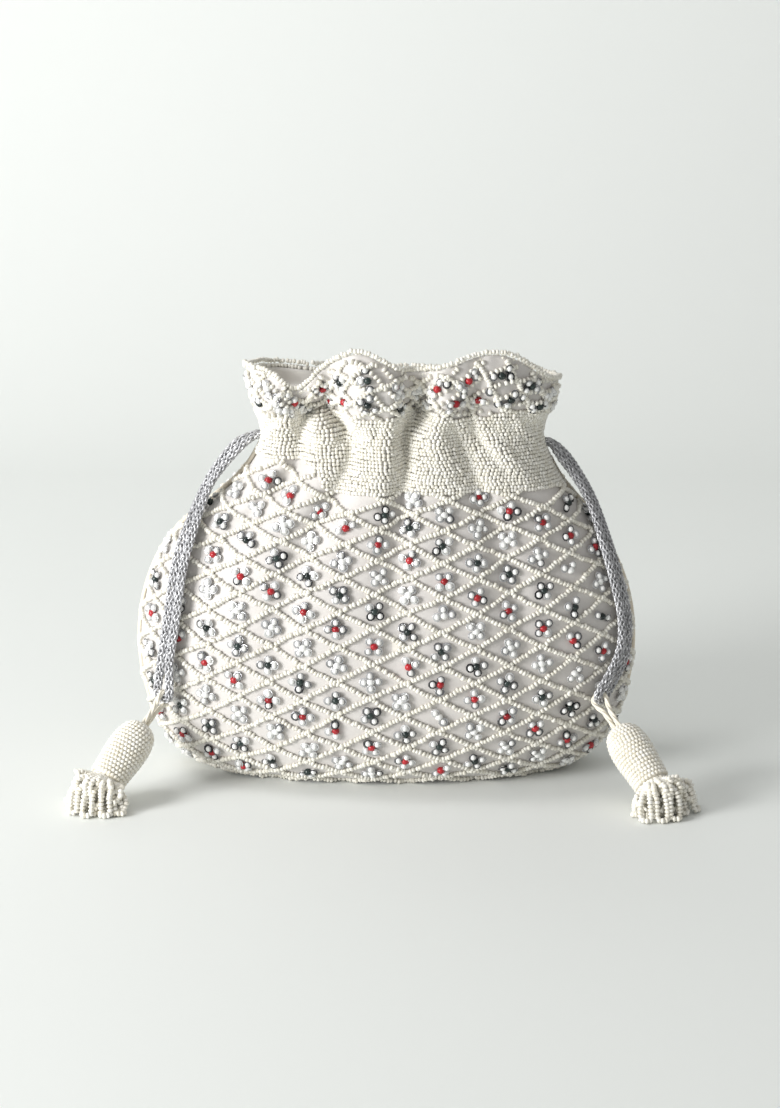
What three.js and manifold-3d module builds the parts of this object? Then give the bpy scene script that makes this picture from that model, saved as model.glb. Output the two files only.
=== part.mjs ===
// Potli bag: a beaded drawstring pouch with a gathered neck, a frill and two tassels.
// Millimetres, +Z up, the front towards -Y, +X to the viewer's right.
// The origin is on the floor under the middle of the pouch.

import * as THREE from "three";
import { mergeVertices } from "three/addons/utils/BufferGeometryUtils.js";
import Module from "manifold-3d";

const wasm = await Module();
wasm.setup();

// Driving dimensions of the pouch
const BELLY_HALF_WIDTH = 105;
const BELLY_HALF_DEPTH = 47;
const MOUTH_HEIGHT = 172;
const NECK_LEAN = 6.5;
const FACE_ROUNDNESS = 0.9;
const PANEL_THICKNESS = 2.4;
const LINING_THICKNESS = 0.8;
const CLEARANCE = 0.3;

// Driving dimensions of the seam, the edging and the drawstrings
const PIPING_RADIUS = 1.2;
const EDGING_RADIUS = 1.2;
const CORD_RADIUS = 1.5;
const BIGHT_RADIUS = 3.2;
const CHANNEL_HEIGHT = 140.5;
const CORD_STACKING = 3.4;
const EXIT_RADIUS = 4.2;
const STRAND_SPACING = 4.2;

// Driving dimensions of the tassels
const THREAD_RADIUS = 0.95;
const CAP_START = 15;
const CAP_LENGTH = 27;
const CAP_WALL = 1.5;
const KNOT_RADIUS = 3.4;
const LOOP_RADIUS = 0.68;
const LOOPS_PER_TASSEL = 10;
const LOOP_RING_RADIUS = 5.35;
const FRINGE_FAN = 76;

// The pouch's outline from the bottom seam to the frill's edge, as shares of
// half width, half depth and height. The first three lie flat on the floor.
const OUTLINE = [
  [0.57, 0.0, 0.0],
  [0.63, 0.34, 0.0],
  [0.71, 0.59, 0.0],
  [0.86, 0.83, 0.055],
  [0.96, 0.96, 0.16],
  [1.0, 1.0, 0.31],
  [0.965, 0.945, 0.46],
  [0.85, 0.82, 0.6],
  [0.645, 0.695, 0.73],
  [0.57, 0.625, 0.81],
  [0.565, 0.615, 0.855],
  [0.6, 0.65, 0.92],
  [0.625, 0.71, 1.0],
];

// Pleats gathered by the drawstrings: place across (-1 to 1) in the neck band and in the
// frill, half width, and depth in the band, at the frill's foot and at its edge
const FRONT_PLEATS = [
  [-0.7, -0.64, 0.085, 8, 11, 4],
  [-0.36, -0.49, 0.1, 8, 15, 4],
  [0.03, 0.1, 0.1, 11, 16, 6],
  [0.46, 0.44, 0.16, 6, 3, 1],
];
const BACK_PLEATS = [
  [-0.6, -0.58, 0.12, 7, 11, 5],
  [-0.15, -0.15, 0.13, 6.5, 11, 4],
  [0.25, 0.26, 0.12, 8, 13, 6],
  [0.65, 0.64, 0.11, 6.5, 10, 4],
];

// Puffs of the frill between the pleats: place across, half width, height
const FRONT_PUFFS = [
  [-0.84, 0.12, 4],
  [-0.2, 0.17, 5.5],
  [0.3, 0.12, 3.5],
  [0.64, 0.16, 3],
  [0.9, 0.08, 3],
];
const BACK_PUFFS = [
  [-0.85, 0.1, 3],
  [-0.38, 0.14, 4],
  [0.05, 0.12, 4],
  [0.45, 0.12, 4],
  [0.85, 0.1, 3],
];

// Rises and dips of the frill's edge: place across, half width, height
const FRONT_RISES = [
  [-0.27, 0.2, 9],
  [0.56, 0.3, 8],
  [-0.66, 0.12, -8],
  [1.0, 0.2, -7],
];
const BACK_RISES = [
  [0.0, 0.9, -8],
  [1.0, 0.2, -5],
];

const FRONT = -1;
const BACK = 1;
const OUTLINE_STEPS = OUTLINE.length - 1;
const BASE_EDGE = 2 / OUTLINE_STEPS;
const GATHER_LEVEL = 10 / OUTLINE_STEPS;
const PLEAT_START = 0.56;
const FRILL_FOOT = 0.9;
const SEAM_OFFSET = PIPING_RADIUS + CLEARANCE;
const SMALL_STEP = 0.001;

const outlineCurve = new THREE.CatmullRomCurve3(
  OUTLINE.map(([width, depth, height]) =>
    new THREE.Vector3(width * BELLY_HALF_WIDTH, depth * BELLY_HALF_DEPTH, height * MOUTH_HEIGHT)),
  false, "catmullrom", 0.5,
);

function ease(from, to, value) {
  return THREE.MathUtils.smoothstep(value, from, to);
}

function bumps(list, across) {
  let total = 0;
  for (const [place, width, height] of list) {
    total += height * Math.exp(-(((across - place) / width) ** 2));
  }
  return total;
}

// Half width, half depth and height at a level, 0 at the bottom seam and 1 at the frill's edge
function levelAt(level) {
  const point = outlineCurve.getPoint(THREE.MathUtils.clamp(level, 0, 1));
  return { width: point.x, depth: Math.max(point.y, 0), height: Math.max(point.z, 0) };
}

function leanAt(height) {
  return NECK_LEAN * ease(90, 140, height);
}

// The height of a level is rising, so a height is turned into its level by halving
function levelOfHeight(height) {
  let low = BASE_EDGE;
  let high = 1;
  for (let i = 0; i < 40; i += 1) {
    const middle = (low + high) / 2;
    if (levelAt(middle).height < height) {
      low = middle;
    } else {
      high = middle;
    }
  }
  return (low + high) / 2;
}

// The smooth pouch with no pleats. The angle runs from the left seam, 0, to the right, pi.
function smoothPouch(face, angle, level) {
  const { width, depth, height } = levelAt(level);
  const bulge = depth * Math.max(Math.sin(angle), 0) ** FACE_ROUNDNESS;
  return new THREE.Vector3(
    leanAt(height) - width * Math.cos(angle),
    face * (SEAM_OFFSET + bulge),
    height,
  );
}

function pouchNormal(face, angle, level) {
  const a = THREE.MathUtils.clamp(angle, 0.06, Math.PI - 0.06);
  const v = THREE.MathUtils.clamp(level, 0.02, 1 - SMALL_STEP);
  const across = smoothPouch(face, a + SMALL_STEP, v).sub(smoothPouch(face, a - SMALL_STEP, v));
  const upward = smoothPouch(face, a, v + SMALL_STEP).sub(smoothPouch(face, a, v - SMALL_STEP));
  return across.cross(upward).multiplyScalar(-face).normalize();
}

// How far the pleats press in, less the frill's puffs, at a place across the face
function pleatDepth(face, across, level) {
  const toFoot = ease(GATHER_LEVEL - 0.015, FRILL_FOOT, level);
  const toEdge = ease(FRILL_FOOT + 0.015, 1, level);
  let total = 0;
  for (const [low, high, width, band, foot, edge] of face === FRONT ? FRONT_PLEATS : BACK_PLEATS) {
    const place = THREE.MathUtils.lerp(low, high, toFoot);
    let depth = band * ease(PLEAT_START, GATHER_LEVEL - 0.02, level);
    depth = THREE.MathUtils.lerp(depth, foot, toFoot);
    depth = THREE.MathUtils.lerp(depth, edge, toEdge);
    total += depth * Math.exp(-(((across - place) / width) ** 2));
  }
  const puffed = ease(GATHER_LEVEL + 0.005, FRILL_FOOT + 0.015, level) * (1 - 0.7 * toEdge);
  return total - puffed * bumps(face === FRONT ? FRONT_PUFFS : BACK_PUFFS, across);
}

function edgeRise(face, across, level) {
  const list = face === FRONT ? FRONT_RISES : BACK_RISES;
  return ease(GATHER_LEVEL + 0.01, 1, level) * bumps(list, across);
}

// A point of the cloth, a given distance inside its outer face
function clothPoint(face, angle, level, inset) {
  const point = smoothPouch(face, angle, level);
  point.addScaledVector(pouchNormal(face, angle, level), -inset);
  point.y = face * Math.max(face * point.y, SEAM_OFFSET);
  const across = -Math.cos(angle);
  point.y -= face * pleatDepth(face, across, level);
  point.z += edgeRise(face, across, level);
  return point;
}

function signedVolume(points, triangles) {
  let total = 0;
  for (let i = 0; i < triangles.length; i += 3) {
    const a = points[triangles[i]];
    const b = points[triangles[i + 1]];
    const c = points[triangles[i + 2]];
    total += a.dot(b.clone().cross(c));
  }
  return total;
}

// A closed body from rings of equal length, with the same triangles closing both ends
function loft(rings, capTriangles) {
  const count = rings[0].length;
  const points = rings.flat();
  const triangles = [];
  for (let ring = 0; ring + 1 < rings.length; ring += 1) {
    for (let i = 0; i < count; i += 1) {
      const a = ring * count + i;
      const b = ring * count + ((i + 1) % count);
      triangles.push(a, b, b + count, a, b + count, a + count);
    }
  }
  const last = (rings.length - 1) * count;
  for (const [a, b, c] of capTriangles) {
    triangles.push(a, c, b);
    triangles.push(last + a, last + b, last + c);
  }
  if (signedVolume(points, triangles) < 0) {
    triangles.reverse();
  }
  const geometry = new THREE.BufferGeometry().setFromPoints(points);
  geometry.setIndex(triangles);
  return geometry;
}

function toManifold(geometry) {
  const plain = geometry.clone();
  plain.deleteAttribute("normal");
  plain.deleteAttribute("uv");
  const merged = mergeVertices(plain, 1e-4);
  return new wasm.Manifold(new wasm.Mesh({
    numProp: 3,
    vertProperties: new Float32Array(merged.attributes.position.array),
    triVerts: new Uint32Array(merged.index.array),
  }));
}

function toGeometry(manifold) {
  const mesh = manifold.getMesh();
  const geometry = new THREE.BufferGeometry();
  geometry.setAttribute("position", new THREE.BufferAttribute(new Float32Array(mesh.vertProperties), 3));
  geometry.setIndex(new THREE.BufferAttribute(new Uint32Array(mesh.triVerts), 1));
  return geometry;
}

const bag = new THREE.Group();
bag.name = "potli_bag";

function addMesh(name, geometry, color, roughness, metalness = 0) {
  const material = new THREE.MeshStandardMaterial({ color, roughness, metalness });
  const mesh = new THREE.Mesh(geometry, material);
  mesh.name = name;
  bag.add(mesh);
}

// The levels of a panel's rings, closer together in the neck and the frill
function panelLevels() {
  const levels = [0, 1 / OUTLINE_STEPS];
  const stretches = [[BASE_EDGE, PLEAT_START, 7], [PLEAT_START, GATHER_LEVEL, 6], [GATHER_LEVEL, 1, 9]];
  for (const [from, to, steps] of stretches) {
    for (let step = 0; step < steps; step += 1) {
      levels.push(from + ((to - from) * step) / steps);
    }
  }
  return [...levels, 1];
}

// One panel: every ring runs along the outer face and back along the inner one
function panel(face, columns) {
  const rings = [];
  for (const level of panelLevels()) {
    const outer = [];
    const inner = [];
    for (let column = 0; column <= columns; column += 1) {
      const angle = (Math.PI * column) / columns;
      outer.push(clothPoint(face, angle, level, 0));
      inner.push(clothPoint(face, angle, level, PANEL_THICKNESS));
    }
    rings.push([...outer, ...inner.reverse()]);
  }
  const capTriangles = [];
  for (let column = 0; column < columns; column += 1) {
    const opposite = 2 * columns + 1 - column;
    capTriangles.push([column, column + 1, opposite - 1], [column, opposite - 1, opposite]);
  }
  return loft(rings, capTriangles);
}

// The drawstrings leave through a round opening in each side seam
function exitCutter(side, height) {
  const cutter = new THREE.CylinderGeometry(EXIT_RADIUS, EXIT_RADIUS, 40, 14);
  cutter.rotateZ(Math.PI / 2);
  cutter.translate(NECK_LEAN + side * 60, 0, height);
  return toManifold(cutter);
}

const LEFT_CORD_HEIGHT = CHANNEL_HEIGHT + CORD_STACKING / 2;
const RIGHT_CORD_HEIGHT = CHANNEL_HEIGHT - CORD_STACKING / 2;
const leftExit = exitCutter(-1, LEFT_CORD_HEIGHT);
const rightExit = exitCutter(1, RIGHT_CORD_HEIGHT);

const FRONT_COLUMNS = 62;
const BACK_COLUMNS = 44;
const frontPanel = toManifold(panel(FRONT, FRONT_COLUMNS)).subtract(leftExit).subtract(rightExit);
const backPanel = toManifold(panel(BACK, BACK_COLUMNS)).subtract(leftExit).subtract(rightExit);
addMesh("front_panel", toGeometry(frontPanel), 0xdedbd6, 0.6);
addMesh("back_panel", toGeometry(backPanel), 0xdedbd6, 0.6);

// The lining hangs inside the panels, draws in behind the cords and ends above them
const LINING_GAP = 0.8;
const LINING_TOP = 0.89;
const LINING_NECK_HALF_WIDTH = 49.4;
const LINING_NECK_HALF_DEPTH = 8.8;
const DEEPEST_PLEAT = 15.2;

function liningPoint(face, angle, level, inset) {
  const { width, depth, height } = levelAt(level);
  const released = ease(0.82, LINING_TOP, level);
  const slopeRoom = 1.9 * ease(0.42, 0.55, level);
  const drawnIn = ease(0.57, 0.71, level) * (1 - released);
  const room = PANEL_THICKNESS + LINING_GAP + slopeRoom + inset;
  const halfWidth = THREE.MathUtils.lerp(width - room, LINING_NECK_HALF_WIDTH - inset, drawnIn);
  const freeDepth = depth - room - DEEPEST_PLEAT * released;
  const halfDepth = THREE.MathUtils.lerp(freeDepth, LINING_NECK_HALF_DEPTH - inset, drawnIn);
  const lift = (PANEL_THICKNESS + CLEARANCE + inset) * (1 - ease(0, 30, height));
  const bulge = halfDepth * Math.max(Math.sin(angle), 0) ** FACE_ROUNDNESS;
  const seam = SEAM_OFFSET * Math.min(1, Math.sin(angle) / 0.2);
  return new THREE.Vector3(
    leanAt(height) - halfWidth * Math.cos(angle),
    face * (seam + bulge),
    height + lift,
  );
}

function liningRing(level, inset, columns) {
  const ring = [];
  for (let column = 0; column < columns; column += 1) {
    ring.push(liningPoint(FRONT, (Math.PI * column) / columns, level, inset));
  }
  for (let column = 0; column < columns; column += 1) {
    ring.push(liningPoint(BACK, Math.PI - (Math.PI * column) / columns, level, inset));
  }
  return ring;
}

function lining(columns, rows) {
  const outer = [];
  const inner = [];
  for (let row = 0; row <= rows; row += 1) {
    const level = BASE_EDGE + ((LINING_TOP - BASE_EDGE) * row) / rows;
    outer.push(liningRing(level, 0, columns));
    inner.push(liningRing(level, LINING_THICKNESS, columns));
  }
  const fan = [];
  for (let i = 1; i + 1 < 2 * columns; i += 1) {
    fan.push([0, i, i + 1]);
  }
  return loft([...outer, ...inner.reverse()], fan);
}

addMesh("lining", lining(16, 14), 0xefeae0, 0.35);

// A curve sampled evenly between its points, so that close points give a finely bent tube
class PointwiseCurve extends THREE.CatmullRomCurve3 {
  getPointAt(share, target) {
    return this.getPoint(share, target);
  }

  getTangentAt(share, target) {
    return this.getTangent(share, target);
  }
}

// A round cord along an open curve, closed at both ends
function openCord(curve, radius, steps, sides) {
  const circle = new THREE.Shape().absarc(0, 0, radius, 0, 2 * Math.PI);
  return new THREE.ExtrudeGeometry(circle, {
    steps, extrudePath: curve, bevelEnabled: false, curveSegments: sides / 2,
  });
}

// A point of the side seam, a given distance inside the outline
function seamPoint(side, level, inset) {
  const here = levelAt(level);
  const above = levelAt(level + SMALL_STEP);
  const below = levelAt(level - SMALL_STEP);
  const along = new THREE.Vector2(above.width - below.width, above.height - below.height).normalize();
  return new THREE.Vector3(
    leanAt(here.height) + side * (here.width - inset * along.y),
    0,
    here.height + inset * along.x,
  );
}

const EXIT_MARGIN = EXIT_RADIUS + PIPING_RADIUS;
const leftPipingTop = levelOfHeight(LEFT_CORD_HEIGHT - EXIT_MARGIN);
const rightPipingTop = levelOfHeight(RIGHT_CORD_HEIGHT - EXIT_MARGIN);
const seamPath = [];
for (let i = 0; i <= 14; i += 1) {
  seamPath.push(seamPoint(-1, leftPipingTop - ((leftPipingTop - 0.06) * i) / 14, PIPING_RADIUS));
}
for (let i = 1; i < 4; i += 1) {
  seamPath.push(new THREE.Vector3(-60 + 30 * i, 0, PIPING_RADIUS));
}
for (let i = 0; i <= 14; i += 1) {
  seamPath.push(seamPoint(1, 0.06 + ((rightPipingTop - 0.06) * i) / 14, PIPING_RADIUS));
}
const seamCurve = new THREE.CatmullRomCurve3(seamPath);
addMesh("seam_piping", openCord(seamCurve, PIPING_RADIUS, 50, 6), 0xd8c5a4, 0.7);

function frillPiping(side, cordHeight) {
  const start = levelOfHeight(cordHeight + EXIT_MARGIN);
  const path = [];
  for (let i = 0; i <= 6; i += 1) {
    const level = start + ((0.975 - start) * i) / 6;
    const point = seamPoint(side, level, PIPING_RADIUS);
    point.z += edgeRise(FRONT, side, level);
    path.push(point);
  }
  return openCord(new THREE.CatmullRomCurve3(path), PIPING_RADIUS, 8, 6);
}

addMesh("left_frill_piping", frillPiping(-1, LEFT_CORD_HEIGHT), 0xd8c5a4, 0.7);
addMesh("right_frill_piping", frillPiping(1, RIGHT_CORD_HEIGHT), 0xd8c5a4, 0.7);

// A string of beads along the frill's edge, all round the mouth
const edgingPath = [];
for (const face of [FRONT, BACK]) {
  const columns = face === FRONT ? FRONT_COLUMNS : BACK_COLUMNS;
  for (let column = 1; column < columns; column += 1) {
    const share = column / columns;
    const angle = Math.PI * (face === FRONT ? share : 1 - share);
    const point = clothPoint(face, angle, 1, PANEL_THICKNESS / 2);
    point.z += EDGING_RADIUS + 3 * CLEARANCE;
    edgingPath.push(point);
  }
}
const edgingCurve = new THREE.CatmullRomCurve3(edgingPath, true);
addMesh("mouth_edging", new THREE.TubeGeometry(edgingCurve, 72, EDGING_RADIUS, 5, true), 0xf1eadb, 0.4);

// Where each drawstring lies once it has left the neck: first hanging free, as points in
// millimetres, then on the front panel, as angle share, level and height above the cloth
const LEFT_FREE = [[-60.5, -2.2, 138.5], [-67.5, -4.5, 131], [-74, -9, 121.5]];
const LEFT_LYING = [
  [0.14, 0.586, 2.7],
  [0.172, 0.536, 2.5],
  [0.186, 0.47, 2.5],
  [0.179, 0.418, 2.9],
  [0.171, 0.378, 3.9],
];
const RIGHT_FREE = [[72.5, -2.2, 134], [78.8, -3.5, 125.6], [84.6, -7.5, 115.5]];
const RIGHT_LYING = [
  [0.9, 0.57, 2.7],
  [0.882, 0.516, 2.5],
  [0.877, 0.464, 2.5],
  [0.859, 0.42, 2.9],
  [0.815, 0.377, 3.9],
];

// The middle line of a drawstring's two strands and the direction across them
function drawstringRoute(free, lying, hang) {
  const route = free.map(([x, y, z]) => ({
    point: new THREE.Vector3(x, y, z),
    outward: new THREE.Vector3(Math.sign(x), -0.6, 0.3).normalize(),
  }));
  for (const [share, level, lift] of lying) {
    const angle = Math.PI * share;
    const outward = pouchNormal(FRONT, angle, level);
    route.push({ point: clothPoint(FRONT, angle, level, -lift), outward });
  }
  for (let i = 0; i < route.length; i += 1) {
    const before = route[Math.max(i - 1, 0)].point;
    const after = route[Math.min(i + 1, route.length - 1)].point;
    route[i].along = after.clone().sub(before).normalize();
    route[i].across = route[i].outward.clone().cross(route[i].along).normalize();
  }
  const end = route[route.length - 1];
  end.across.addScaledVector(hang, -end.across.dot(hang)).normalize();
  return route;
}

// One closed drawstring: round the neck inside the channel, out at one side, down to a bight
function drawstring(side, height, route) {
  const halfWidth = levelAt(levelOfHeight(height)).width - 4.6;
  const halfDepth = 12;
  const inChannel = (face, turn) => new THREE.Vector3(
    NECK_LEAN + side * halfWidth * Math.cos(turn),
    face * (1.4 * Math.min(1, Math.sin(turn) / 0.3) + halfDepth * Math.sin(turn) ** FACE_ROUNDNESS),
    height,
  );
  const exitX = NECK_LEAN + side * (halfWidth + 4.6);
  const strand = STRAND_SPACING / 2;
  const path = [];
  for (const turn of [0.5, 0.85, 1.2, 1.57, 1.94, 2.3, 2.65, 2.95]) {
    path.push(inChannel(FRONT, turn));
  }
  path.push(inChannel(FRONT, Math.PI));
  for (const turn of [2.95, 2.65, 2.3, 1.94, 1.57, 1.2, 0.85, 0.5]) {
    path.push(inChannel(BACK, turn));
  }
  path.push(new THREE.Vector3(exitX - side * 6.5, 2.6, height));
  path.push(new THREE.Vector3(exitX - side * 3, strand, height));
  path.push(new THREE.Vector3(exitX + side * 1.5, strand, height - 0.4));
  const end = route[route.length - 1];
  const facesBack = (spot) => (spot.across.y > 0 ? 1 : -1);
  for (const spot of route) {
    const spread = spot === end ? BIGHT_RADIUS : strand;
    path.push(spot.point.clone().addScaledVector(spot.across, facesBack(spot) * spread));
  }
  const half = BIGHT_RADIUS * Math.SQRT1_2;
  const turnPoint = (share) => end.point.clone()
    .addScaledVector(end.across, facesBack(end) * share)
    .addScaledVector(end.along, half);
  path.push(turnPoint(half));
  path.push(end.point.clone().addScaledVector(end.along, BIGHT_RADIUS));
  path.push(turnPoint(-half));
  for (const spot of [...route].reverse()) {
    const spread = spot === end ? BIGHT_RADIUS : strand;
    path.push(spot.point.clone().addScaledVector(spot.across, -facesBack(spot) * spread));
  }
  path.push(new THREE.Vector3(exitX + side * 1.5, -strand, height - 0.4));
  path.push(new THREE.Vector3(exitX - side * 3, -strand, height));
  path.push(new THREE.Vector3(exitX - side * 6.5, -2.6, height));
  return new THREE.TubeGeometry(new PointwiseCurve(path, true), 2 * path.length, CORD_RADIUS, 6, true);
}

// The way each tassel hangs from its bight until the fringe stands on the floor
const LEFT_HANG = new THREE.Vector3(-0.5, -0.6, -0.625).normalize();
const RIGHT_HANG = new THREE.Vector3(0.46, -0.62, -0.635).normalize();
const leftRoute = drawstringRoute(LEFT_FREE, LEFT_LYING, LEFT_HANG);
const rightRoute = drawstringRoute(RIGHT_FREE, RIGHT_LYING, RIGHT_HANG);
const CORD_COLOR = 0x9a9a9e;
addMesh("left_drawstring", drawstring(-1, LEFT_CORD_HEIGHT, leftRoute), CORD_COLOR, 0.35, 0.6);
addMesh("right_drawstring", drawstring(1, RIGHT_CORD_HEIGHT, rightRoute), CORD_COLOR, 0.35, 0.6);

// Half of the cap's outline: distance from its top and radius
const CAP_OUTLINE = [[0, 2.4], [0.6, 4.6], [3, 7.2], [8, 8.6], [14, 8.8], [20, 8.3], [CAP_LENGTH, 7.8]];
const BEAD_COLOR = 0xf1eadb;
const THREAD_COLOR = 0xf4ecd8;

function tasselCap() {
  const outer = new THREE.SplineCurve(CAP_OUTLINE.map(([down, radius]) => new THREE.Vector2(radius, -down)));
  const profile = outer.getPoints(9);
  const inner = [];
  for (const point of profile) {
    const down = Math.max(-point.y, CAP_WALL);
    inner.push(new THREE.Vector2(Math.max(point.x - CAP_WALL, 2.4), -Math.min(down, CAP_LENGTH)));
  }
  const ring = [...profile, ...inner.slice(1).reverse(), profile[0].clone()];
  const cap = new THREE.LatheGeometry(ring.reverse(), 13);
  cap.rotateX(Math.PI / 2);
  cap.translate(0, 0, -CAP_START);
  return cap;
}

// A thread loop round the drawstring's bight, knotted inside the cap
function tasselThread() {
  const reach = CORD_RADIUS + THREAD_RADIUS + 0.45;
  const path = [];
  for (const degrees of [-110, -55, 0, 55, 110]) {
    const turn = THREE.MathUtils.degToRad(degrees);
    path.push(new THREE.Vector3(0, reach * Math.sin(turn), reach * Math.cos(turn)));
  }
  path.push(new THREE.Vector3(0, 1.4, -6), new THREE.Vector3(0, 1.2, -12));
  path.push(new THREE.Vector3(0, 1.2, -18), new THREE.Vector3(0, 0, -20));
  path.push(new THREE.Vector3(0, -1.2, -18), new THREE.Vector3(0, -1.2, -12));
  path.push(new THREE.Vector3(0, -1.4, -6));
  const loop = new THREE.TubeGeometry(new THREE.CatmullRomCurve3(path, true), 32, THREAD_RADIUS, 5, true);
  const knot = new THREE.SphereGeometry(KNOT_RADIUS, 8, 6);
  knot.translate(0, 0, -CAP_START - 5.4);
  return toGeometry(toManifold(loop).add(toManifold(knot)));
}

// One leg of a fringe loop leaves the cap along the tassel and drops to the floor, fanning out
function fringeLeg(frame, ringAngle) {
  const upper = ringAngle < Math.PI;
  const folded = upper ? ringAngle : 2 * Math.PI - ringAngle;
  const fan = THREE.MathUtils.degToRad(FRINGE_FAN) * (1 - folded / (Math.PI / 2));
  const heading = frame.ahead.clone().multiplyScalar(Math.cos(fan))
    .addScaledVector(frame.sideways, Math.sin(fan));
  const reach = upper ? 16 : 11.5;
  const mouth = frame.mouth.clone()
    .addScaledVector(frame.sideways, LOOP_RING_RADIUS * Math.cos(ringAngle))
    .addScaledVector(frame.upward, LOOP_RING_RADIUS * Math.sin(ringAngle));
  const inside = mouth.clone().addScaledVector(frame.down, -7);
  const end = new THREE.Vector3(frame.mouth.x, frame.mouth.y, 0).addScaledVector(heading, reach);
  end.z = LOOP_RADIUS + 0.15;
  const middle = mouth.clone().lerp(end, 0.55).addScaledVector(frame.down, upper ? 1.5 : 0.5);
  middle.z = Math.max(middle.z + (upper ? 2.5 : 0.4), LOOP_RADIUS + 0.6);
  return { inside, mouth, middle, end, heading };
}

function fringeLoop(frame, index) {
  const step = Math.PI / LOOPS_PER_TASSEL;
  const first = fringeLeg(frame, (2 * index + 0.5) * step);
  const second = fringeLeg(frame, (2 * index + 1.5) * step);
  const tip = first.end.clone().lerp(second.end, 0.5);
  tip.addScaledVector(first.heading.clone().add(second.heading).normalize(), 1.5);
  const path = [first.inside, first.mouth, first.middle, first.end, tip,
    second.end, second.middle, second.mouth, second.inside];
  return openCord(new PointwiseCurve(path), LOOP_RADIUS, 16, 6);
}

// A tassel hangs from the bight and leans out until its fringe stands on the floor
function addTassel(prefix, route, down) {
  const end = route[route.length - 1];
  const link = end.point.clone().addScaledVector(end.along, BIGHT_RADIUS);
  const axisX = end.across.clone().multiplyScalar(Math.sign(end.across.x));
  const axisZ = down.clone().negate();
  const axisY = axisZ.clone().cross(axisX);
  const place = new THREE.Matrix4().makeBasis(axisX, axisY, axisZ).setPosition(link);
  addMesh(`${prefix}_tassel_thread`, tasselThread().applyMatrix4(place), THREAD_COLOR, 0.5);
  addMesh(`${prefix}_tassel_cap`, tasselCap().applyMatrix4(place), BEAD_COLOR, 0.4);
  const ahead = new THREE.Vector3(down.x, down.y, 0).normalize();
  const sideways = new THREE.Vector3(-ahead.y, ahead.x, 0);
  const frame = {
    down, ahead, sideways,
    upward: down.clone().cross(sideways).normalize(),
    mouth: link.clone().addScaledVector(down, CAP_START + CAP_LENGTH),
  };
  for (let index = 0; index < LOOPS_PER_TASSEL; index += 1) {
    addMesh(`${prefix}_fringe_loop_${index + 1}`, fringeLoop(frame, index), BEAD_COLOR, 0.4);
  }
}

addTassel("left", leftRoute, LEFT_HANG);
addTassel("right", rightRoute, RIGHT_HANG);

export default bag;
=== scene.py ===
# %% [markdown]
# # A beaded potli bag
# A potli is a small drawstring pouch. This one is sewn from two panels covered with
# seed beads, gathered at the neck by two silver cords that end in beaded tassels.
# Every piece is worked out with numpy in millimetres and put into the mesh in metres,
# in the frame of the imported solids, so each piece lies where its solid lies.

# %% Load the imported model
import math

import bpy
import numpy as np
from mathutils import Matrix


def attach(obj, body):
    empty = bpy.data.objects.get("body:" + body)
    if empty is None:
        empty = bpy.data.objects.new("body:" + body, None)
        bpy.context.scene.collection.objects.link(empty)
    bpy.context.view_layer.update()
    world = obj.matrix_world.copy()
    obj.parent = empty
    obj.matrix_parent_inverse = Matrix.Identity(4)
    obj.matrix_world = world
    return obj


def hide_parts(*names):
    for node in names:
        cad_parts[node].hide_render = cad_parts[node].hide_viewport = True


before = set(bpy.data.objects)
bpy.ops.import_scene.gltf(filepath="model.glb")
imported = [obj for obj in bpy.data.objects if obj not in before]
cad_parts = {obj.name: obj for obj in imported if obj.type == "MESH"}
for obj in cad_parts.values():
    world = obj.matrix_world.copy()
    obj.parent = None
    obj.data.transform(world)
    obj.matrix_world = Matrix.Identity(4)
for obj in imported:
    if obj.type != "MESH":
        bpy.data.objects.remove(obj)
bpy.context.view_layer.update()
MM = 0.001
chance = np.random.default_rng(21)

# %% [markdown]
# ## The camera
# The photograph looks slightly down on the front. One pixel is about 0.418 mm at the
# middle of the pouch, and the floor's shadow puts the camera about 14 degrees up.
# The lens follows from the width of the view at the camera's distance.

# %% Place the camera
PHOTO_WIDTH_PX = 780
MM_PER_PX = 0.418
CAMERA_TARGET = np.array([1.5, 0.0, 91.0])
CAMERA_DISTANCE = 1000.0
CAMERA_RISE = math.radians(14.0)

camera_data = bpy.data.cameras.new("camera")
camera = bpy.data.objects.new("camera", camera_data)
bpy.context.scene.collection.objects.link(camera)
camera_data.sensor_fit = "HORIZONTAL"
camera_data.lens = camera_data.sensor_width * CAMERA_DISTANCE / (PHOTO_WIDTH_PX * MM_PER_PX)
away = np.array([0.0, -math.cos(CAMERA_RISE), math.sin(CAMERA_RISE)])
camera.location = (CAMERA_TARGET + CAMERA_DISTANCE * away) * MM
camera.rotation_euler = (math.pi / 2 - CAMERA_RISE, 0.0, 0.0)
camera_data.clip_start = 0.05
bpy.context.scene.camera = camera
print("lens", round(camera_data.lens, 1), "mm")

# %% [markdown]
# ## Shader arithmetic
# A finish is a small network of nodes. Writing it as Python expressions keeps it readable:
# the class below wraps one socket, and a plus or a minus on it adds the Math node.


# %% A socket that can be added and multiplied
class Shade:
    """One output socket of a node tree. Arithmetic on it adds a Math node to the tree."""

    def __init__(self, tree, socket):
        self.tree = tree
        self.socket = socket

    def node(self, kind, settings=None, inputs=None, output=0):
        """Add any node: its settings first, then values or links for its inputs."""
        return add_node(self.tree, kind, settings, inputs, output)

    def maths(self, operation, first, second):
        return self.node("ShaderNodeMath", {"operation": operation}, {0: first, 1: second})

    def __add__(self, other):
        return self.maths("ADD", self, other)

    def __radd__(self, other):
        return self.maths("ADD", other, self)

    def __sub__(self, other):
        return self.maths("SUBTRACT", self, other)

    def __rsub__(self, other):
        return self.maths("SUBTRACT", other, self)

    def __mul__(self, other):
        return self.maths("MULTIPLY", self, other)

    def __rmul__(self, other):
        return self.maths("MULTIPLY", other, self)


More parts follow.
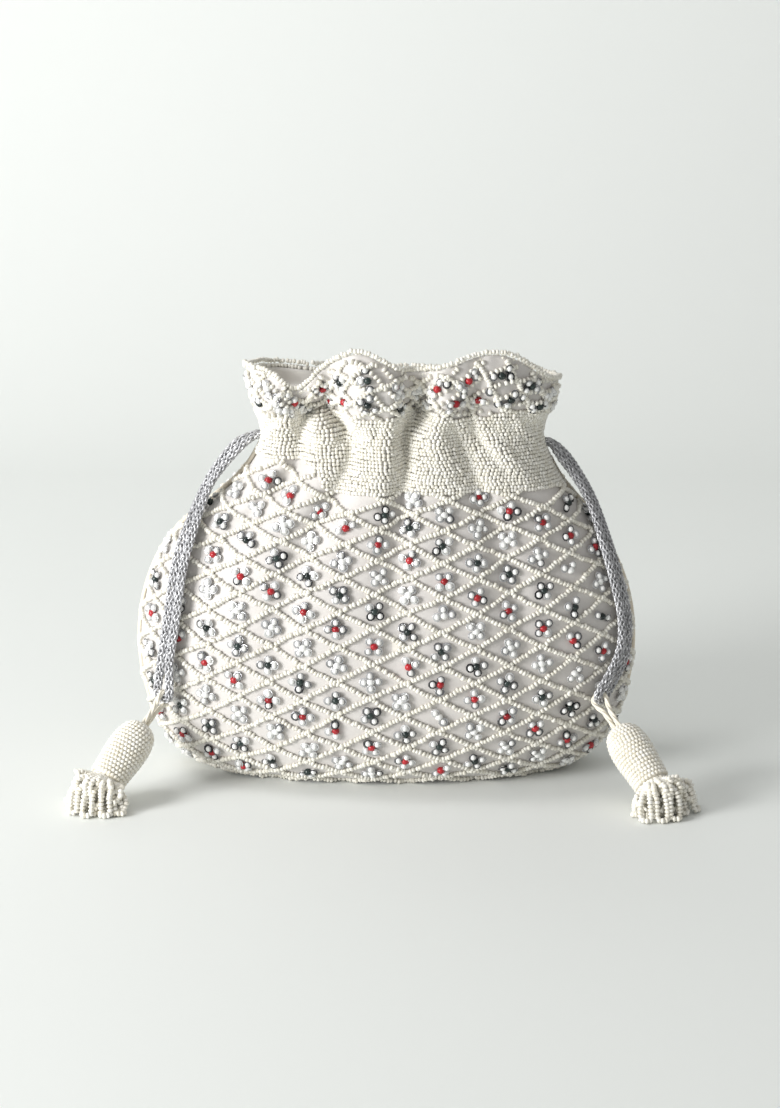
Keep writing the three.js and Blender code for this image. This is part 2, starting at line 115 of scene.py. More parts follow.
def add_node(tree, kind, settings=None, inputs=None, output=0):
    """A node of a kind with its settings and inputs, returned as its output socket."""
    node = tree.nodes.new(kind)
    for name, value in (settings or {}).items():
        setattr(node, name, value)
    for name, value in (inputs or {}).items():
        socket = node.inputs[name]
        if isinstance(value, Shade):
            tree.links.new(value.socket, socket)
        elif isinstance(value, tuple) and len(value) == 3 and socket.type == "RGBA":
            socket.default_value = (*value, 1.0)
        else:
            socket.default_value = value
    return Shade(tree, node.outputs[output])


def new_finish(name, **fixed):
    """A material whose one Principled shader has the fixed values; returns it and its tree."""
    material = bpy.data.materials.new(name)
    material.use_nodes = True
    shader = material.node_tree.nodes["Principled BSDF"]
    for socket_name, value in fixed.items():
        socket = shader.inputs[socket_name.replace("_", " ")]
        socket.default_value = (*value, 1.0) if socket.type == "RGBA" else value
    return material, material.node_tree


def feed(tree, **links):
    """Link values that change over the surface into the Principled shader's sockets."""
    shader = tree.nodes["Principled BSDF"]
    for socket_name, value in links.items():
        tree.links.new(value.socket, shader.inputs[socket_name.replace("_", " ")])


def mixed(value, low, high):
    """A colour between low and high by a value from 0 to 1."""
    settings = {"data_type": "RGBA"}
    return value.node("ShaderNodeMix", settings, {0: value, 6: low, 7: high}, output=2)


# %% [markdown]
# ## Finishes
# Seed beads are opaque glass with a soft pearl gloss, and no two are quite one colour, so
# each bead carries a number called tint that shifts its colour a little. The cloth below
# is a pale lilac-grey silk, the lining satin, the cords flat braids of metallic thread.


# %% Bead finishes
def bead_finish(name, low, high, roughness, **fixed):
    """Glass beads: the tint of each bead picks a colour between low and high."""
    material, tree = new_finish(name, Roughness=roughness, **fixed)
    tint = add_node(tree, "ShaderNodeAttribute", {"attribute_name": "tint"}, output=2)
    feed(tree, Base_Color=mixed(tint, low, high))
    return material


CREAM = bead_finish("cream_beads", (0.78, 0.75, 0.66), (0.91, 0.89, 0.82), 0.3)
NECK_CREAM = bead_finish("neck_beads", (0.80, 0.77, 0.68), (0.92, 0.90, 0.84), 0.32)
TASSEL_CREAM = bead_finish("tassel_beads", (0.86, 0.82, 0.71), (0.94, 0.92, 0.86), 0.3)
PEARL = bead_finish("pearl_beads", (0.82, 0.82, 0.80), (0.92, 0.92, 0.90), 0.12)
RED = bead_finish("red_beads", (0.29, 0.008, 0.013), (0.48, 0.022, 0.03), 0.18)
BLACK = bead_finish("black_beads", (0.006, 0.012, 0.011), (0.03, 0.045, 0.042), 0.15)
DARK_CUP = bead_finish("dark_cups", (0.05, 0.05, 0.055), (0.35, 0.35, 0.36), 0.22, Metallic=0.8)
CLEAR_CUP = bead_finish("clear_cups", (0.42, 0.42, 0.43), (0.82, 0.82, 0.82), 0.15, Metallic=0.4)


# %% Cloth and thread finishes
def cloth_finish(name, low, high, grain_mm, bump, **fixed):
    """Woven cloth: soft and fine noise for its shade, and the fine noise again as its bump."""
    material, tree = new_finish(name, **fixed)
    place = add_node(tree, "ShaderNodeTexCoord", output=3)
    scale = 1000.0 / grain_mm
    cloudy = add_node(tree, "ShaderNodeTexNoise", None, {"Vector": place, "Scale": 90.0, "Detail": 3.0})
    fine = add_node(tree, "ShaderNodeTexNoise", None, {"Vector": place, "Scale": scale, "Detail": 2.0})
    feed(tree, Base_Color=mixed(0.6 * cloudy + 0.4 * fine, low, high))
    bumped = {"Height": fine, "Strength": bump, "Distance": 0.0003}
    feed(tree, Normal=add_node(tree, "ShaderNodeBump", None, bumped))
    return material


GROUND = cloth_finish("ground_cloth", (0.58, 0.55, 0.53), (0.74, 0.71, 0.68), 0.5, 0.25,
                      Roughness=0.5, Sheen_Weight=0.3)
SATIN = cloth_finish("lining_satin", (0.78, 0.74, 0.68), (0.88, 0.85, 0.80), 0.4, 0.1,
                     Roughness=0.32, Sheen_Weight=0.2)
TAN = cloth_finish("piping_thread", (0.72, 0.63, 0.49), (0.88, 0.82, 0.70), 0.6, 0.3, Roughness=0.7)
SILK = cloth_finish("silk_thread", (0.80, 0.74, 0.60), (0.92, 0.88, 0.78), 0.5, 0.2, Roughness=0.45)


def glitter_finish(name, low, high, grain_mm, **fixed):
    """Metallic thread: every small cell of a random pattern takes its own shade."""
    material, tree = new_finish(name, **fixed)
    place = add_node(tree, "ShaderNodeTexCoord", output=3)
    cells = {"Vector": place, "Scale": 1000.0 / grain_mm}
    feed(tree, Base_Color=mixed(add_node(tree, "ShaderNodeTexVoronoi", None, cells, output=1), low, high))
    return material


CORD = glitter_finish("silver_cord", (0.20, 0.20, 0.21), (0.84, 0.84, 0.86), 0.8,
                      Roughness=0.34, Metallic=0.35)
print(len(bpy.data.materials), "finishes")

# %% [markdown]
# ## Meshes from arrays
# A surface is a grid of points. These helpers number its faces, carry a circle along
# paths to make tubes, and put arrays into a mesh without a loop over the points.


# %% Grids, tubes and pieces
def unit(vectors):
    """Vectors divided by their own length."""
    return vectors / np.maximum(np.linalg.norm(vectors, axis=-1, keepdims=True), 1e-12)


def grid_faces(rows, columns, wrap=False):
    """Four-cornered faces between neighbours of a rows by columns grid of points."""
    index = np.arange(rows * columns).reshape(rows, columns)
    if wrap:
        index = np.concatenate([index, index[:, :1]], axis=1)
    corners = [index[:-1, :-1], index[:-1, 1:], index[1:, 1:], index[1:, :-1]]
    return np.stack(corners, axis=-1).reshape(-1, 4)


def outward(points, triangles):
    """Triangles turned so that the closed shape they bound has a positive volume."""
    a, b, c = (points[triangles[:, i]] for i in range(3))
    volume = np.einsum("ij,ij->i", a, np.cross(b, c)).sum()
    return triangles if volume > 0 else triangles[:, ::-1]


def ring_triangles(rings, sides):
    """Triangles of a stack of rings, then two poles that close its ends."""
    quads = grid_faces(rings, sides, wrap=True)
    walls = np.concatenate([quads[:, [0, 1, 2]], quads[:, [0, 2, 3]]])
    first = np.arange(sides)
    after = (first + 1) % sides
    low = np.full(sides, rings * sides)
    last = (rings - 1) * sides
    fans = [np.stack([low, after, first], 1), np.stack([low + 1, first + last, after + last], 1)]
    return np.concatenate([walls, *fans])


def sweep(paths, radius, sides, reference):
    """Tubes closed at both ends: path + radius (cos t side + sin t lift), where side is
    tangent x reference and lift is side x tangent."""
    paths = np.asarray(paths, float)
    paths = paths[None] if paths.ndim == 2 else paths
    tangent = unit(np.gradient(paths, axis=1))
    side = unit(np.cross(tangent, reference))
    lift = np.cross(side, tangent)
    turn = np.linspace(0.0, 2.0 * math.pi, sides, endpoint=False)[:, None]
    ring = np.cos(turn) * side[:, :, None] + np.sin(turn) * lift[:, :, None]
    count, length = paths.shape[:2]
    walls = (paths[:, :, None] + radius * ring).reshape(count, length * sides, 3)
    points = np.concatenate([walls, paths[:, [0]], paths[:, [-1]]], axis=1)
    one = outward(points[0], ring_triangles(length, sides))
    triangles = one + (np.arange(count) * points.shape[1])[:, None, None]
    return points.reshape(-1, 3), triangles.reshape(-1, 3)


def add_piece(name, points, faces, finish, slot, body="bag"):
    """A new smooth object from points in millimetres, riding on a body."""
    faces = np.asarray(faces, np.int32)
    mesh = bpy.data.meshes.new(name)
    mesh.vertices.add(len(points))
    mesh.vertices.foreach_set("co", (np.asarray(points) * MM).astype(np.float32).ravel())
    mesh.loops.add(faces.size)
    mesh.loops.foreach_set("vertex_index", faces.ravel())
    mesh.polygons.add(len(faces))
    mesh.polygons.foreach_set("loop_start", np.arange(0, faces.size, faces.shape[1], dtype=np.int32))
    mesh.polygons.foreach_set("use_smooth", np.ones(len(faces), bool))
    mesh.update(calc_edges=True)
    mesh.validate()
    mesh.materials.append(finish)
    piece = bpy.data.objects.new(name, mesh)
    bpy.context.scene.collection.objects.link(piece)
    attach(piece, body)
    return piece


def add_map(piece, places):
    """A texture map for baking: one place in the unit square for each point of the piece."""
    mesh = piece.data
    corner = np.empty(len(mesh.loops), np.int32)
    mesh.loops.foreach_get("vertex_index", corner)
    layer = mesh.uv_layers.new(name="OFBake")
    layer.uv.foreach_set("vector", places[corner].astype(np.float32).ravel())


# %% [markdown]
# ## The shape of the pouch
# The outline is a spline through thirteen levels of half width, half depth and height.
# At each level the front is half of a rounded loop from the left seam to the right.
# Pleats press the loop in near the neck, and the frill's edge rises and dips.

# %% The pouch as a function of angle and level
BELLY_HALF_WIDTH = 105.0
BELLY_HALF_DEPTH = 47.0
MOUTH_HEIGHT = 172.0
NECK_LEAN = 6.5
FACE_ROUNDNESS = 0.9
SEAM_OFFSET = 1.5
GATHER_LEVEL = 10.0 / 12.0
PLEAT_START = 0.56
OUTLINE = np.array([
    [0.57, 0.0, 0.0],
    [0.63, 0.34, 0.0],
    [0.71, 0.59, 0.0],
    [0.86, 0.83, 0.055],
    [0.96, 0.96, 0.16],
    [1.0, 1.0, 0.31],
    [0.965, 0.945, 0.46],
    [0.85, 0.82, 0.6],
    [0.645, 0.695, 0.73],
    [0.57, 0.625, 0.81],
    [0.565, 0.615, 0.855],
    [0.6, 0.65, 0.92],
    [0.625, 0.71, 1.0],
]) * np.array([BELLY_HALF_WIDTH, BELLY_HALF_DEPTH, MOUTH_HEIGHT])
FRONT = -1
BACK = 1
FRILL_FOOT = 0.9
# Each pleat: place across in the neck band and in the frill, half width, then its depth in
# the band, at the frill's foot and at the frill's edge
PLEATS = {
    FRONT: [(-0.7, -0.64, 0.085, 8.0, 11.0, 4.0), (-0.36, -0.49, 0.1, 8.0, 15.0, 4.0),
            (0.03, 0.1, 0.1, 11.0, 16.0, 6.0), (0.46, 0.44, 0.16, 6.0, 3.0, 1.0)],
    BACK: [(-0.6, -0.58, 0.12, 7.0, 11.0, 5.0), (-0.15, -0.15, 0.13, 6.5, 11.0, 4.0),
           (0.25, 0.26, 0.12, 8.0, 13.0, 6.0), (0.65, 0.64, 0.11, 6.5, 10.0, 4.0)],
}
# Each puff of the frill and each rise of its edge: place across, half width, height
PUFFS = {
    FRONT: [(-0.84, 0.12, 4.0), (-0.2, 0.17, 5.5), (0.3, 0.12, 3.5), (0.64, 0.16, 3.0), (0.9, 0.08, 3.0)],
    BACK: [(-0.85, 0.1, 3.0), (-0.38, 0.14, 4.0), (0.05, 0.12, 4.0), (0.45, 0.12, 4.0), (0.85, 0.1, 3.0)],
}
RISES = {
    FRONT: [(-0.27, 0.2, 9.0), (0.56, 0.3, 8.0), (-0.66, 0.12, -8.0), (1.0, 0.2, -7.0)],
    BACK: [(0.0, 0.9, -8.0), (1.0, 0.2, -5.0)],
}


def ease(start, end, value):
    """0 before start, 1 after end, and 3t^2 - 2t^3 between them."""
    share = np.clip((value - start) / (end - start), 0.0, 1.0)
    return share * share * (3.0 - 2.0 * share)


def spline(knots, share):
    """A Catmull-Rom curve through knots: each stretch is a cubic whose slope at a knot is
    half the step between that knot's neighbours."""
    knots = np.concatenate([2 * knots[:1] - knots[1:2], knots, 2 * knots[-1:] - knots[-2:-1]])
    place = np.clip(share, 0.0, 1.0) * (len(knots) - 3)
    low = np.minimum(place.astype(int), len(knots) - 4)
    t = (place - low)[..., None]
    before, first, second, after = (knots[low + i] for i in range(4))
    slope_in = 0.5 * (second - before)
    slope_out = 0.5 * (after - first)
    cubic = 2 * first - 2 * second + slope_in + slope_out
    square = -3 * first + 3 * second - 2 * slope_in - slope_out
    return ((cubic * t + square) * t + slope_in) * t + first


def bumps(knolls, across):
    """The sum of bell curves: height exp(-((across - place) / width)^2)."""
    return sum(height * np.exp(-(((across - place) / width) ** 2)) for place, width, height in knolls)


def outline_at(level):
    """Half width, half depth and height at a level from 0, the bottom seam, to 1, the edge."""
    return np.moveaxis(np.maximum(spline(OUTLINE, np.asarray(level, float)), 0.0), -1, 0)


def lean_at(height):
    """How far the neck stands to the right."""
    return NECK_LEAN * ease(90.0, 140.0, height)


def smooth_pouch(face, angle, level):
    """The pouch with no pleats: x = -width cos angle, y = depth sin angle, rounded, z = height."""
    width, depth, height = outline_at(level)
    bulge = depth * np.maximum(np.sin(angle), 0.0) ** FACE_ROUNDNESS
    x = lean_at(height) - width * np.cos(angle)
    return np.stack(np.broadcast_arrays(x, face * (SEAM_OFFSET + bulge), height), axis=-1)


def pouch_normal(face, angle, level):
    """The outward direction of the smooth pouch: the cross product of its two slopes."""
    step = 0.001
    angle, level = np.broadcast_arrays(np.clip(angle, 0.06, math.pi - 0.06), np.clip(level, 0.02, 1.0 - step))
    across = smooth_pouch(face, angle + step, level) - smooth_pouch(face, angle - step, level)
    upward = smooth_pouch(face, angle, level + step) - smooth_pouch(face, angle, level - step)
    return unit(-face * np.cross(across, upward))


def pleat_depth(face, across, level):
    """How far the cloth is pressed in: each pleat is a bell curve whose place and depth change
    from the neck band to the frill's foot and on to its edge, less the frill's puffs."""
    to_foot = ease(GATHER_LEVEL - 0.015, FRILL_FOOT, level)
    to_edge = ease(FRILL_FOOT + 0.015, 1.0, level)
    total = 0.0
    for low, high, width, band, foot, edge in PLEATS[face]:
        place = low + (high - low) * to_foot
        depth = band * ease(PLEAT_START, GATHER_LEVEL - 0.02, level)
        depth = depth + (foot - depth) * to_foot
        depth = depth + (edge - depth) * to_edge
        total = total + depth * np.exp(-(((across - place) / width) ** 2))
    puffed = ease(GATHER_LEVEL + 0.005, FRILL_FOOT + 0.015, level) * (1.0 - 0.7 * to_edge)
    return total - puffed * bumps(PUFFS[face], across)


def cloth_point(face, angle, level, inset):
    """A point of the pleated cloth, a distance inside the outer face of the solid."""
    angle, level = np.broadcast_arrays(np.asarray(angle, float), np.asarray(level, float))
    points = smooth_pouch(face, angle, level) - inset * pouch_normal(face, angle, level)
    points[..., 1] = face * np.maximum(face * points[..., 1], SEAM_OFFSET)
    across = -np.cos(angle)
    points[..., 1] -= face * pleat_depth(face, across, level)
    points[..., 2] += ease(GATHER_LEVEL + 0.01, 1.0, level) * bumps(RISES[face], across)
    return points


print("neck half width", outline_at(GATHER_LEVEL)[0].round(1), "mm")

# %% [markdown]
# ## The drawstrings
# Each cord is one closed loop: round the neck inside the channel, out through the side
# seam, and down to a bight that holds the tassel. Two strands hang side by side, first
# free in an arc, then lying on the front. A strand is a soft flat braid of metallic yarns.
# A plain tube would lose the sparkle, so every yarn is its own thin tube: half of them
# wind one way round a flat oval, half the other way, and they pass over and under.

# %% Where the drawstrings lie
CORD_RADIUS = 1.5
BIGHT_RADIUS = 3.2
STRAND_SPACING = 4.2
CORD_HEIGHT = {"left": 142.2, "right": 138.8}
SIDE = {"left": -1.0, "right": 1.0}
FREE_ROUTE = {
    "left": [(-60.5, -2.2, 138.5), (-67.5, -4.5, 131.0), (-74.0, -9.0, 121.5)],
    "right": [(72.5, -2.2, 134.0), (78.8, -3.5, 125.6), (84.6, -7.5, 115.5)],
}
# On the front panel: share of the half turn, level, and height above the solid's face
LYING_ROUTE = {
    "left": [(0.14, 0.586, 2.7), (0.172, 0.536, 2.5), (0.186, 0.47, 2.5), (0.179, 0.418, 2.9),
             (0.171, 0.378, 3.9)],
    "right": [(0.9, 0.57, 2.7), (0.882, 0.516, 2.5), (0.877, 0.464, 2.5), (0.859, 0.42, 2.9),
              (0.815, 0.377, 3.9)],
}
HANG = {
    "left": unit(np.array([-0.5, -0.6, -0.625])),
    "right": unit(np.array([0.46, -0.62, -0.635])),
}


def level_of_height(height):
    """The level at which the outline has a height."""
    levels = np.linspace(0.2, 1.0, 800)
    return np.interp(height, outline_at(levels)[2], levels)


def drawstring_route(name):
    """The middle line of the two strands, and the directions across, along and out of it."""
    free = np.array(FREE_ROUTE[name])
    share, level, lift = np.array(LYING_ROUTE[name]).T
    angle = math.pi * share
    normal = pouch_normal(FRONT, angle, level)
    middle = np.concatenate([free, cloth_point(FRONT, angle, level, 0.0) + lift[:, None] * normal])
    out = np.concatenate([unit(np.array([[SIDE[name], -0.6, 0.3]] * len(free))), normal])
    held = np.concatenate([middle[:1], middle, middle[-1:]])
    along = unit(held[2:] - held[:-2])
    across = unit(np.cross(out, along))
    across *= np.where(across[:, 1:2] > 0, 1.0, -1.0)
    across[-1] = unit(across[-1] - across[-1].dot(HANG[name]) * HANG[name])
    return middle, across, along, out


def strand_path(name, which):
    """One strand from its exit to the bight and the way it faces; which is 1 behind, -1 in front."""
    middle, across, along, out = drawstring_route(name)
    height = CORD_HEIGHT[name]
    exit_x = NECK_LEAN + SIDE[name] * outline_at(level_of_height(height))[0]
    half = STRAND_SPACING / 2
    spread = np.full(len(middle), half)
    spread[-1] = BIGHT_RADIUS
    start = np.array([[exit_x - SIDE[name] * 3.0, which * half, height],
                      [exit_x + SIDE[name] * 1.5, which * half, height - 0.4]])
    hanging = middle + which * spread[:, None] * across
    turn = BIGHT_RADIUS * math.sqrt(0.5)
    corner = middle[-1] + which * turn * across[-1] + turn * along[-1]
    bottom = middle[-1] + BIGHT_RADIUS * along[-1]
    knots = np.concatenate([start, hanging, [corner, bottom]])
    start_out = np.array([[0.3 * SIDE[name], 0.0, 1.0]] * 2)
    facing = np.concatenate([start_out, out, [out[-1]] * 2])
    share = np.linspace(0.0, 1.0, 300)
    return spline(knots, share), unit(spline(facing, share))


def channel_path(name):
    """The cord inside the neck: an oval from the front strand round to the rear one."""
    height = CORD_HEIGHT[name]
    full_width = outline_at(level_of_height(height))[0]
    turn = np.linspace(0.45, math.pi, 40)
    x = NECK_LEAN + SIDE[name] * (full_width - 4.6) * np.cos(turn)
    y = 1.4 * np.minimum(1.0, np.sin(turn) / 0.3) + 12.0 * np.maximum(np.sin(turn), 0.0) ** FACE_ROUNDNESS
    front = np.stack([x, -y, np.full_like(x, height)], -1)
    first = np.array([[NECK_LEAN + SIDE[name] * (full_width - 3.0), -STRAND_SPACING / 2, height]])
    half = np.concatenate([first, front])
    return np.concatenate([half, half[-2::-1] * np.array([1.0, -1.0, 1.0])])


# %% Braid them
BRAID_YARNS = 6
BRAID_TURN = 24.0
BRAID_HALF_WIDTH = 1.6
BRAID_HALF_THICKNESS = 0.95
YARN_RADIUS = 0.42


def path_sides(path, facing):
    """Distance along a path, and the directions beside it and above it at every point."""
    along = unit(np.gradient(path, axis=0))
    beside = unit(np.cross(along, facing))
    run = np.concatenate([[0.0], np.cumsum(np.linalg.norm(np.diff(path, axis=0), axis=1))])
    return run, beside, np.cross(beside, along)


def braid(path, facing):
    """A flat braid: yarn j of each way stands at angle 2 pi (j / yarns +- run / turn) on an
    oval, and a cosine wave along the run takes it over and under."""
    run, beside, above = path_sides(path, facing)
    wave = 0.3 * np.cos(2.0 * math.pi * BRAID_YARNS * run / BRAID_TURN)
    share = np.arange(BRAID_YARNS)[:, None] / BRAID_YARNS
    paths = []
    for way in (1.0, -1.0):
        turn = 2.0 * math.pi * (share + way * run / BRAID_TURN)
        wide = ((BRAID_HALF_WIDTH + way * wave) * np.cos(turn))[..., None]
        thick = ((BRAID_HALF_THICKNESS + way * wave) * np.sin(turn))[..., None]
        paths.append(path + wide * beside + thick * above)
    return sweep(np.concatenate(paths), YARN_RADIUS, 4, facing)


strand_pieces = {"left": [], "right": []}
strand_paths = {}
for name, strands in strand_pieces.items():
    for which, label in ((-1, "front"), (1, "rear")):
        path, facing = strand_path(name, which)
        piece = add_piece(f"{name}_{label}_strand", *braid(path, facing), CORD, "silver_cord")
        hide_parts(f"{name}_drawstring")
        strands.append(piece)
        strand_paths[piece.name] = path
        print(piece.name, len(piece.data.polygons), "faces")
    channel = channel_path(name)
    add_piece(f"{name}_channel_cord", *sweep(channel, CORD_RADIUS, 8, np.array([0.0, 0.0, 1.0])), CORD,
              "silver_cord")

# %% [markdown]
# ## The cloth
# Front and back are one sheet each, from the bottom seam up to the frill's edge, gathered
# at the neck. The solid's outer face stands for the tops of the beads, so the cloth lies
# a bead's height inside it. Small gathers fan out from the channel and soft folds run down
# from the pleats, as they do where a cord draws cloth together.

# %% Front and back panels
BEAD_ROOM = 2.0
GATHER_HEIGHT = 0.85
FOLD_DEPTH = 3.0
LOBE_PUFF = 3.4
PIT_DEPTH = 2.8
CLOTH_ROWS = 150
CLOTH_COLUMNS = 170


def gathers(face, angle, level):
    """Outward shift of the cloth: small gathers that fan out below the cords, soft folds from
    each pleat down the body, the frill's lobes, and a pit below the frill at each pleat."""
    across = -np.cos(angle)
    fan = across / (1.0 + 2.4 * np.maximum(0.88 - level, 0.0))
    waves = np.sin(34.0 * fan + 2.0 * np.sin(5.0 * fan + face)) + 0.5 * np.sin(53.0 * fan + face)
    strength = ease(0.62, 0.76, level) * (1.0 - 0.5 * ease(0.80, 0.96, level))
    fade = ease(0.30, 0.60, level) * (1.0 - ease(0.60, 0.80, level))
    spread = 1.0 + 0.5 * (0.75 - level)
    folds = sum(np.exp(-(((across - low * spread) / 0.075) ** 2)) for low, *_ in PLEATS[face])
    lobes = ease(0.885, 0.93, level) * (1.0 - 0.8 * ease(0.95, 0.995, level))
    near_foot = np.exp(-(((level - 0.9) / 0.017) ** 2))
    pits = near_foot * sum(np.exp(-(((across - high) / 0.07) ** 2)) for _, high, *_ in PLEATS[face])
    shift = GATHER_HEIGHT * strength * waves - FOLD_DEPTH * fade * folds + LOBE_PUFF * lobes - PIT_DEPTH * pits
    return shift * np.sin(angle)


def beaded_cloth(face, angle, level):
    """The cloth under the beads: the pleated pouch with its gathers."""
    points = cloth_point(face, angle, level, BEAD_ROOM)
    points[..., 1] += face * gathers(face, angle, level)
    return points


def square_map(rows, columns):
    """Places in the unit square for a grid of points."""
    return np.stack(np.meshgrid(np.linspace(0, 1, columns), np.linspace(0, 1, rows)), -1).reshape(-1, 2)


def thicken(piece, thickness):
    """Give a sheet its thickness on the inner side."""
    solid = piece.modifiers.new("thickness", "SOLIDIFY")
    solid.thickness = thickness * MM
    solid.offset = -1.0


for face, name in ((FRONT, "front"), (BACK, "back")):
    angles = np.linspace(0.0, math.pi, CLOTH_COLUMNS)
    levels = np.linspace(0.0, 0.995, CLOTH_ROWS)[:, None]
    points = beaded_cloth(face, angles, levels)
    faces = grid_faces(CLOTH_ROWS, CLOTH_COLUMNS)[:, :: -face]
    piece = add_piece(f"{name}_cloth", points.reshape(-1, 3), faces, GROUND, "beaded_cloth")
    add_map(piece, square_map(CLOTH_ROWS, CLOTH_COLUMNS))
    thicken(piece, 0.5)
    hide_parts(f"{name}_panel")
    print(piece.name, len(piece.data.polygons), "faces")

# %% [markdown]
# ## A ruler on the cloth
# Beads are sewn at even distances along the cloth, not along the angle. So each face gets
# a chart: t runs up the cloth and s across it from the middle, in millimetres, and a table
# turns them back into angle and level. Hand work is never quite straight, so a slow wave
# shifts every place a little.

# %% Charts of the two faces
CHART_STEPS = 360
CHART_REACH = 190.0
CHART_PER_MM = 4.0


def make_chart(face):
    """Distances along the cloth on a fine grid, and the angle at even steps of s in each row."""
    angles = np.linspace(0.0, math.pi, CHART_STEPS + 1)
    levels = np.linspace(0.0, 1.0, CHART_STEPS + 1)
    grid = beaded_cloth(face, angles, levels[:, None])
    across = np.cumsum(np.linalg.norm(np.diff(grid, axis=1), axis=2), axis=1)
    across = np.concatenate([np.zeros((len(levels), 1)), across], axis=1)
    across -= across[:, [CHART_STEPS // 2]]
    upward = np.linalg.norm(np.diff(grid, axis=0), axis=2).mean(axis=1)
    t = np.concatenate([[0.0], np.cumsum(upward)])
    s = np.arange(-CHART_REACH, CHART_REACH + 0.01, 1.0 / CHART_PER_MM)
    rows = [np.interp(s, row, angles, left=np.nan, right=np.nan) for row in across]
    return {"face": face, "levels": levels, "t": t, "angle": np.array(rows)}


def read_chart(chart, s, t):
    """Angle and level at s and t; the angle is not a number outside the cloth."""
    level = np.interp(t, chart["t"], chart["levels"])
    row = np.clip(level * CHART_STEPS, 0.0, CHART_STEPS - 0.001)
    table = chart["angle"]
    column = np.clip((s + CHART_REACH) * CHART_PER_MM, 0.0, table.shape[1] - 1.001)
    r = row.astype(int)
    c = column.astype(int)
    low = table[r, c] * (1 - column + c) + table[r, c + 1] * (column - c)
    high = table[r + 1, c] * (1 - column + c) + table[r + 1, c + 1] * (column - c)
    return low * (1 - row + r) + high * (row - r), level


def by_hand(s, t):
    """The small unevenness of hand work: slow sine waves added to s and t."""
    return (s + 0.9 * np.sin(t / 15.0 + s / 60.0) + 0.5 * np.sin(t / 6.1 + s / 33.0),
            t + 0.8 * np.sin(s / 19.0 + t / 41.0) + 0.4 * np.sin(s / 7.3 - t / 23.0))


def cloth_frame(chart, s, t, heading):
    """Point, outward normal and sewing direction of the cloth at s, t; heading is (ds, dt)."""
    step = 0.25
    angle, level = read_chart(chart, s, t)
    next_angle, next_level = read_chart(chart, s + step * heading[0], t + step * heading[1])
    face = chart["face"]
    point = beaded_cloth(face, angle, level)
    along = unit(beaded_cloth(face, next_angle, next_level) - point)
    d = 0.004
    inner = np.clip(angle, 2 * d, math.pi - 2 * d)
    held = np.clip(level, 2 * d, 1.0 - 2 * d)
    across = beaded_cloth(face, inner + d, held) - beaded_cloth(face, inner - d, held)
    upward = beaded_cloth(face, inner, held + d) - beaded_cloth(face, inner, held - d)
    return point, unit(-face * np.cross(across, upward)), along


charts = {"front": make_chart(FRONT), "back": make_chart(BACK)}
for name, chart in charts.items():
    print(name, "cloth is", round(float(chart["t"][-1])), "mm from seam to edge")

# %% [markdown]
# ## Beads
# One seed bead is a short barrel with its thread along the middle. A bead modelled in full
# would be far too heavy thousands of times, so its few faces are shaded smooth and copied
# to every place by array arithmetic: place + length along + radius (side, out).


# %% Bead shapes and the sewing of many beads
def barrel(sides, profile):
    """A barrel along x: rings of (place, radius), closed by a pole at each end."""
    place, radius = np.array(profile).T
    turn = np.linspace(0.0, 2.0 * math.pi, sides, endpoint=False)
    ring = np.stack([np.zeros(sides), np.cos(turn), np.sin(turn)], -1)
    points = radius[:, None, None] * ring + np.array([1.0, 0.0, 0.0]) * place[:, None, None]
    poles = np.array([[place[0] - 0.03, 0.0, 0.0], [place[-1] + 0.03, 0.0, 0.0]])
    points = np.concatenate([points.reshape(-1, 3), poles])
    return points, outward(points, ring_triangles(len(place), sides))


def cup(sides):
    """A cup sequin with its axis along z: a thin ring whose outer rim stands up."""
    turn = np.linspace(0.0, 2.0 * math.pi, sides, endpoint=False)
    radius = np.array([0.45, 0.95, 1.0, 0.50])[:, None]
    rise = np.array([0.0, 0.36, 0.24, -0.12])[:, None]
    x = radius * np.cos(turn)
    points = np.stack([x, radius * np.sin(turn), rise + 0.0 * x], -1).reshape(-1, 3)
    quads = grid_faces(5, sides, wrap=True) % (4 * sides)
    return points, outward(points, np.concatenate([quads[:, [0, 1, 2]], quads[:, [0, 2, 3]]]))


SEED = barrel(6, [(-0.44, 0.62), (0.0, 1.0), (0.44, 0.62)])
ROUND = barrel(7, [(-0.82, 0.52), (-0.3, 0.96), (0.3, 0.96), (0.82, 0.52)])
SEQUIN = cup(9)


def sew(name, shape, places, along, out, length, radius, finish, body="bag", slot="cream_beads"):
    """Copies of a shape at places: x goes along the thread, z out of the cloth, y across both."""
    template, triangles = shape
    out = unit(out - np.sum(out * along, -1, keepdims=True) * along)
    across = np.cross(out, along)
    count = len(places)
    length, radius = (np.broadcast_to(v, (count,))[:, None, None] for v in (length, radius))
    x, y, z = (template[None, :, i, None] for i in range(3))
    points = places[:, None] + length * x * along[:, None]
    points = points + radius * (y * across[:, None] + z * out[:, None])
    faces = triangles + (np.arange(count) * len(template))[:, None, None]
    piece = add_piece(name, points.reshape(-1, 3), faces.reshape(-1, 3), finish, slot, body)
    tint = np.repeat(chance.random(count), len(template))
    layer = piece.data.attributes.new("tint", "FLOAT", "POINT")
    layer.data.foreach_set("value", tint.astype(np.float32))
    cells = math.ceil(math.sqrt(count))
    corner = np.stack([np.arange(count) % cells, np.arange(count) // cells], -1)[:, None]
    local = 0.5 + 0.4 * np.clip(template[:, 1:], -1.0, 1.0)
    add_map(piece, ((corner + local[None]) / cells).reshape(-1, 2))
    print(name, count, "beads,", len(piece.data.polygons), "faces")
    return piece


# %% [markdown]
# ## The lattice
# Strings of white seed beads cross the cloth in diamonds about 28 mm wide and 14 mm high.
# Both families of strings are straight lines on the chart: t = slope s + k height, and the
# mirror of that. They run from the bottom seam to the neck band, and twice as close on the frill.

